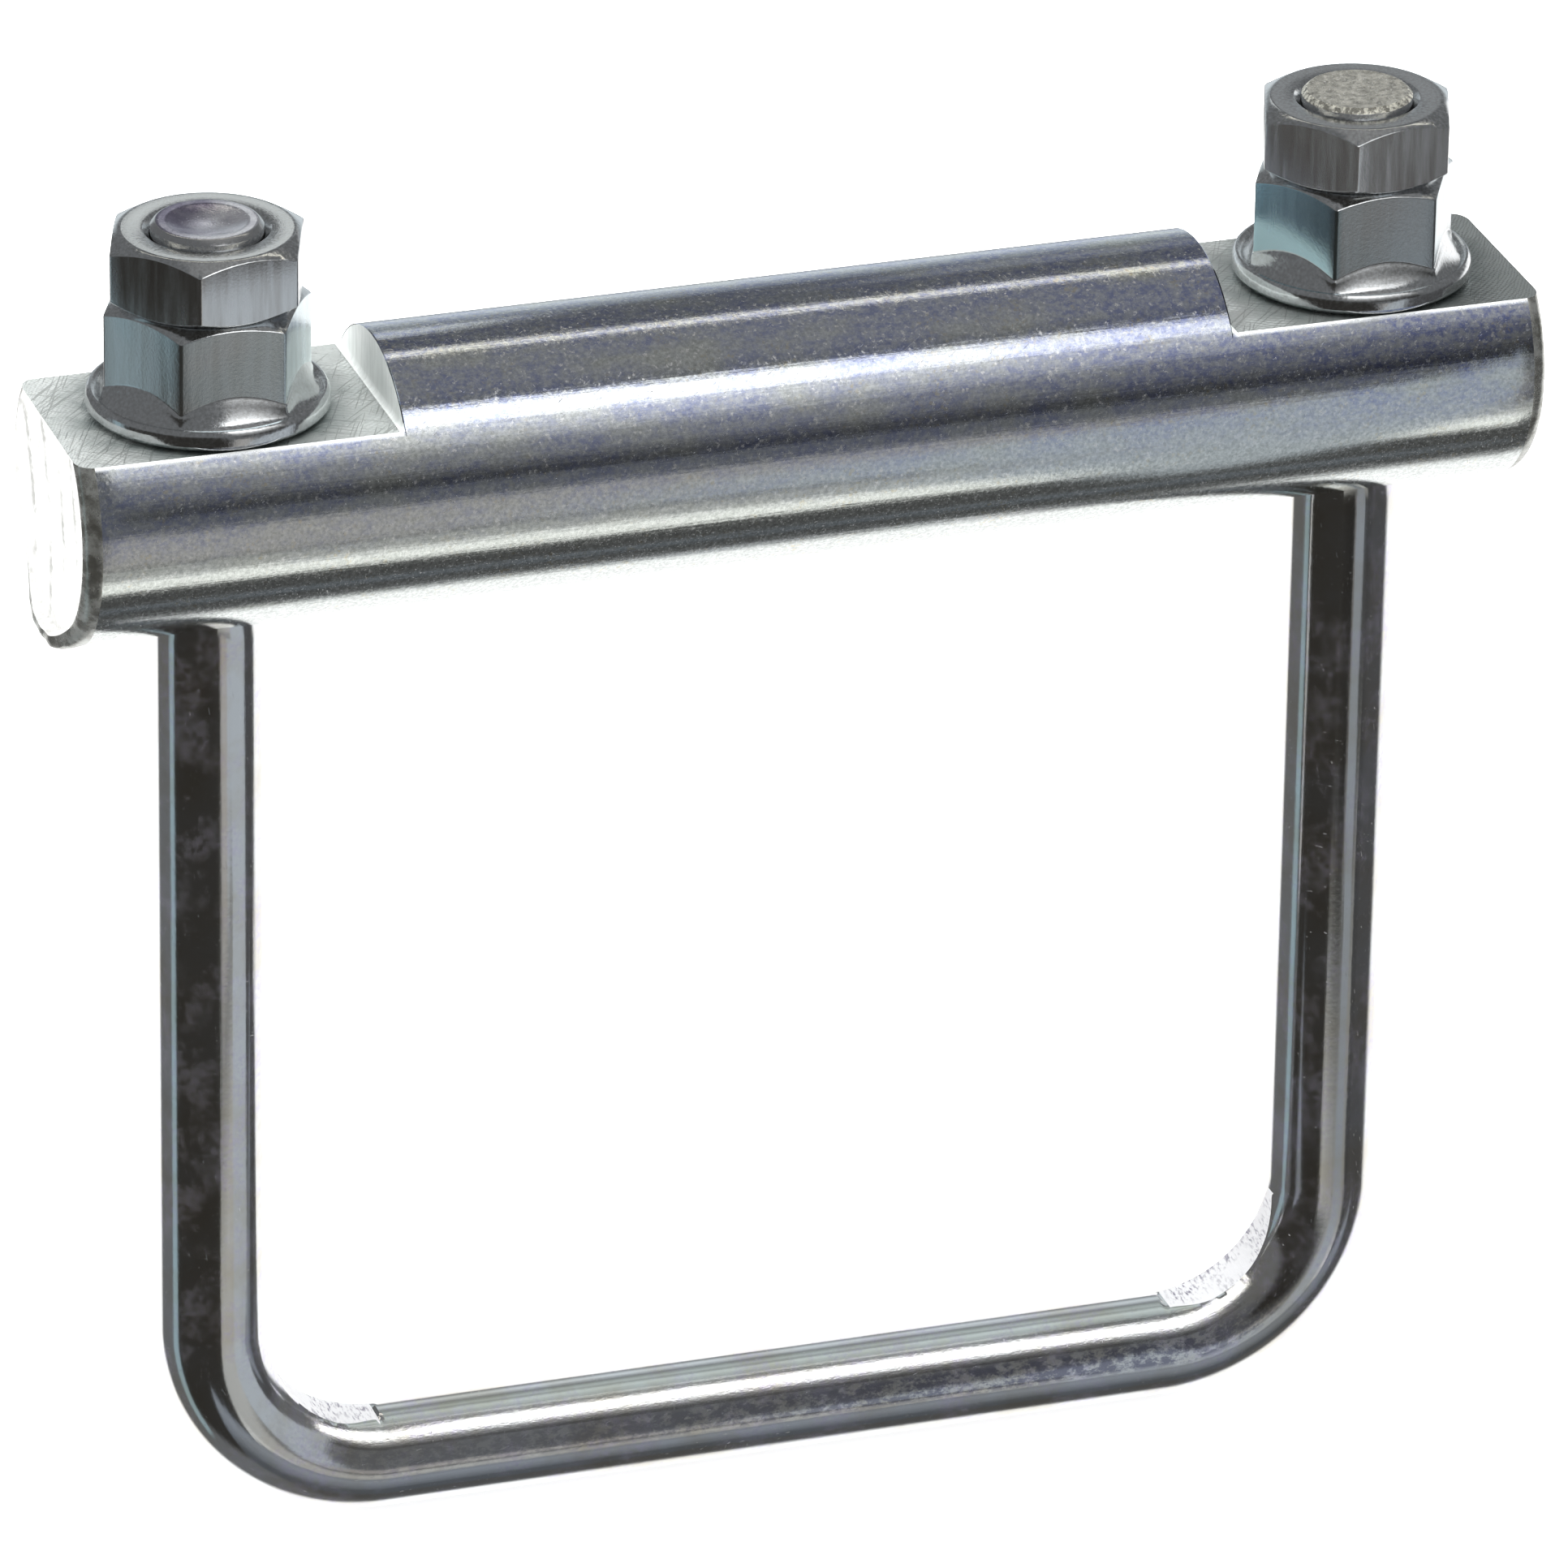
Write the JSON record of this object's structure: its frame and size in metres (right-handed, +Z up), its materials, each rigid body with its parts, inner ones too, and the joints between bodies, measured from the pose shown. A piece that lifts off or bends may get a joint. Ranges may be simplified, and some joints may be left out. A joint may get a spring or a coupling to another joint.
{
  "type": "square u-bolt clamp eye",
  "caption": "Square U-bolt closed by a round cross bar with milled flats, held on each threaded leg by a flange nut and a lock nut.",
  "frame": {"origin": "on the surface that the U-bolt's bottom run stands on, under the middle of that run", "axes": "+X along the cross bar, +Y through the eye, +Z up the threaded legs"},
  "size_m": [0.1076, 0.02, 0.102],
  "materials": {
    "plated_rod": "bright zinc plate on smooth drawn steel rod",
    "plated_bar": "satin zinc plate on steel bar, finely scratched, flats end-milled",
    "plated_flange_nuts": "bright zinc plate with a faint blue tint",
    "plated_lock_nuts": "bright zinc plate"
  },
  "bodies": {
    "u_bolt": {"u_bolt": "plated_rod"},
    "cross_bar": {"cross_bar": "plated_bar"},
    "left_flange_nut": {"left_flange_nut": "plated_flange_nuts"},
    "right_flange_nut": {"right_flange_nut": "plated_flange_nuts"},
    "left_lock_nut": {"left_lock_nut": "plated_lock_nuts"},
    "right_lock_nut": {"right_lock_nut": "plated_lock_nuts"}
  },
  "joints": [
    {"name": "clamp_slide", "type": "slide", "parent": "u_bolt", "child": "cross_bar", "axis": [0, 0, 1], "range_m": [-0.013, 0.0005]},
    {"name": "left_flange_nut_turn", "type": "hinge", "parent": "cross_bar", "child": "left_flange_nut", "pos_m": [-0.04225, 0, 0.088], "axis": [0, 0, 1], "range_deg": [-3750, 150]},
    {"name": "right_flange_nut_turn", "type": "hinge", "parent": "cross_bar", "child": "right_flange_nut", "pos_m": [0.04225, 0, 0.088], "axis": [0, 0, 1], "range_deg": [-3750, 150]},
    {"name": "left_lock_nut_turn", "type": "hinge", "parent": "cross_bar", "child": "left_lock_nut", "pos_m": [-0.04225, 0, 0.0965], "axis": [0, 0, 1], "range_deg": [-3750, 150]},
    {"name": "right_lock_nut_turn", "type": "hinge", "parent": "cross_bar", "child": "right_lock_nut", "pos_m": [0.04225, 0, 0.0965], "axis": [0, 0, 1], "range_deg": [-3750, 150]}
  ],
  "couplings": [
    {"joint": "left_flange_nut_turn", "follows": "clamp_slide", "rad_per_m": 5026.5},
    {"joint": "right_flange_nut_turn", "follows": "clamp_slide", "rad_per_m": 5026.5},
    {"joint": "left_lock_nut_turn", "follows": "clamp_slide", "rad_per_m": 5026.5},
    {"joint": "right_lock_nut_turn", "follows": "clamp_slide", "rad_per_m": 5026.5}
  ]
}
